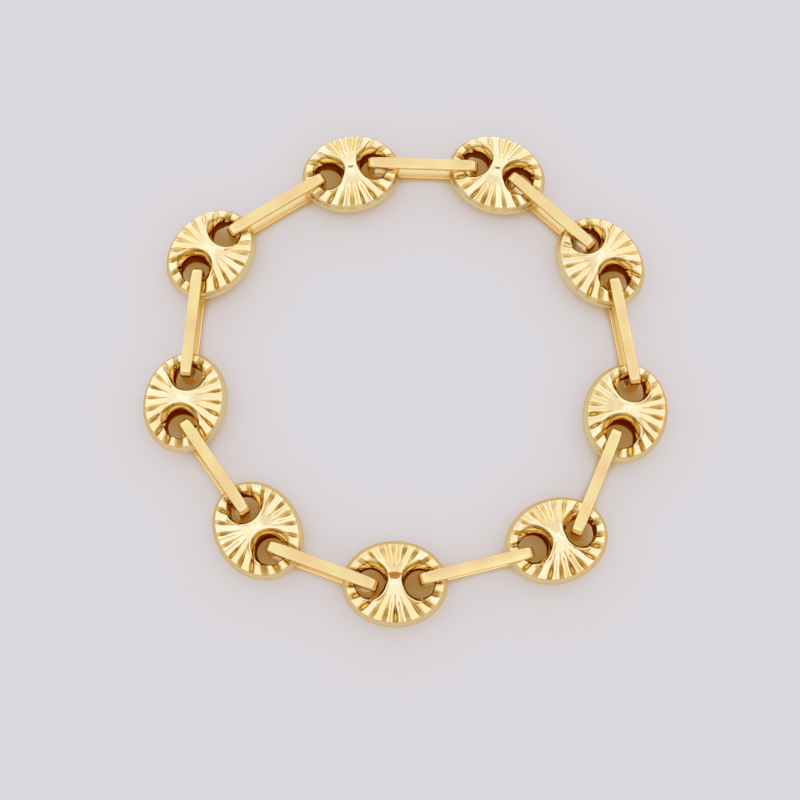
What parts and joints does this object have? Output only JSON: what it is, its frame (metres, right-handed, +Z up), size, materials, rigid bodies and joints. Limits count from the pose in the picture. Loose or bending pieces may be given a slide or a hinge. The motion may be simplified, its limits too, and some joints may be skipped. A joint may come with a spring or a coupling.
{
  "type": "chain finger ring",
  "caption": "Closed chain ring of puffed oval two-hole links with fluted faces, joined by long loops of flat wire; it lies on a surface as a loose round loop.",
  "frame": {"origin": "on the surface that the ring lies on, under the middle of its bounding box", "axes": "+Z up from the surface, +Y away from the viewer and towards the upper side of the laid loop, +X to the right"},
  "size_m": [0.0212, 0.0206, 0.0017],
  "materials": {
    "fluted_gold": "polished yellow gold, stamped and fluted",
    "wire_gold": "polished yellow gold, flat wire with a soft satin grain"
  },
  "bodies": {
    "root": {"puffed_link_1": "fluted_gold", "puffed_link_2": "fluted_gold", "puffed_link_3": "fluted_gold", "puffed_link_4": "fluted_gold", "puffed_link_5": "fluted_gold", "puffed_link_6": "fluted_gold", "puffed_link_7": "fluted_gold", "puffed_link_8": "fluted_gold", "puffed_link_9": "fluted_gold", "long_link_1": "wire_gold", "long_link_2": "wire_gold", "long_link_3": "wire_gold", "long_link_4": "wire_gold", "long_link_5": "wire_gold", "long_link_6": "wire_gold", "long_link_7": "wire_gold", "long_link_8": "wire_gold", "long_link_9": "wire_gold"}
  },
  "joints": []
}
